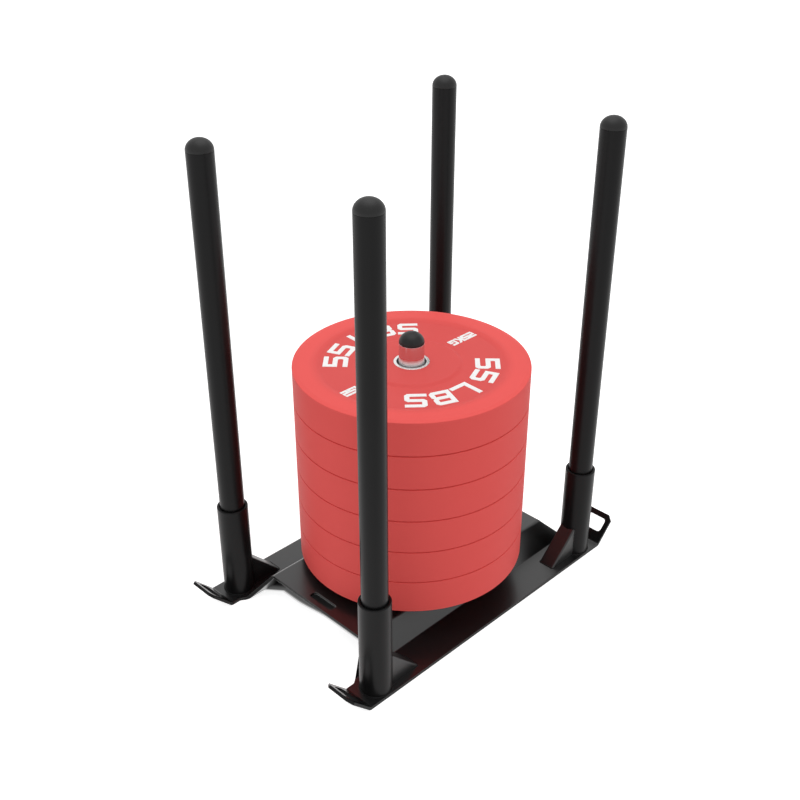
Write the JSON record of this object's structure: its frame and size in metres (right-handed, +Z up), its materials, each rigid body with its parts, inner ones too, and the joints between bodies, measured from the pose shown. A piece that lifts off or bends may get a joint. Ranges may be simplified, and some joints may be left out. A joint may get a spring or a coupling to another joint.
{
  "type": "drag sled",
  "caption": "Low folded-steel push and drag sled with lift-out poles in welded sockets, slotted pull tabs and a middle post loaded with bumper plates.",
  "frame": {"origin": "on the ground, under the middle of the sled", "axes": "+Z up; Y along the sled between its two like ends, front at -Y; +X across, right side at +X"},
  "size_m": [0.469, 0.7758, 0.9369],
  "materials": {
    "black_powder_coat": "satin black powder coat",
    "cap_plastic": "moulded black, soft sheen",
    "post_chrome": "polished",
    "plate_rubber": "smooth moulded red rubber, matt",
    "ring_steel": "turned steel"
  },
  "bodies": {
    "base": {"base_sheet": "black_powder_coat", "front_left_socket": "black_powder_coat", "front_right_socket": "black_powder_coat", "back_left_socket": "black_powder_coat", "back_right_socket": "black_powder_coat", "front_left_brace": "black_powder_coat", "front_right_brace": "black_powder_coat", "back_left_brace": "black_powder_coat", "back_right_brace": "black_powder_coat", "post": "post_chrome", "post_cap": "cap_plastic", "post_collar": "black_powder_coat"},
    "front_left_pole": {"front_left_pole": "black_powder_coat", "front_left_pole_cap": "cap_plastic"},
    "front_right_pole": {"front_right_pole": "black_powder_coat", "front_right_pole_cap": "cap_plastic"},
    "back_left_pole": {"back_left_pole": "black_powder_coat", "back_left_pole_cap": "cap_plastic"},
    "back_right_pole": {"back_right_pole": "black_powder_coat", "back_right_pole_cap": "cap_plastic"},
    "plate_1": {"plate_1": "plate_rubber", "plate_1_ring": "ring_steel"},
    "plate_2": {"plate_2": "plate_rubber", "plate_2_ring": "ring_steel"},
    "plate_3": {"plate_3": "plate_rubber", "plate_3_ring": "ring_steel"},
    "plate_4": {"plate_4": "plate_rubber", "plate_4_ring": "ring_steel"},
    "plate_5": {"plate_5": "plate_rubber", "plate_5_ring": "ring_steel"},
    "plate_6": {"plate_6": "plate_rubber", "plate_6_ring": "ring_steel"}
  },
  "joints": [
    {"name": "front_left_pole_lift", "type": "slide", "parent": "base", "child": "front_left_pole", "axis": [0, 0, 1], "range_m": [0, 0.21]},
    {"name": "front_right_pole_lift", "type": "slide", "parent": "base", "child": "front_right_pole", "axis": [0, 0, 1], "range_m": [0, 0.21]},
    {"name": "back_left_pole_lift", "type": "slide", "parent": "base", "child": "back_left_pole", "axis": [0, 0, 1], "range_m": [0, 0.21]},
    {"name": "back_right_pole_lift", "type": "slide", "parent": "base", "child": "back_right_pole", "axis": [0, 0, 1], "range_m": [0, 0.21]},
    {"name": "plate_1_lift", "type": "slide", "parent": "base", "child": "plate_1", "axis": [0, 0, 1], "range_m": [0, 0.488]},
    {"name": "plate_2_lift", "type": "slide", "parent": "plate_1", "child": "plate_2", "axis": [0, 0, 1], "range_m": [0, 0.418]},
    {"name": "plate_3_lift", "type": "slide", "parent": "plate_2", "child": "plate_3", "axis": [0, 0, 1], "range_m": [0, 0.349]},
    {"name": "plate_4_lift", "type": "slide", "parent": "plate_3", "child": "plate_4", "axis": [0, 0, 1], "range_m": [0, 0.279]},
    {"name": "plate_5_lift", "type": "slide", "parent": "plate_4", "child": "plate_5", "axis": [0, 0, 1], "range_m": [0, 0.21]},
    {"name": "plate_6_lift", "type": "slide", "parent": "plate_5", "child": "plate_6", "axis": [0, 0, 1], "range_m": [0, 0.14]}
  ]
}
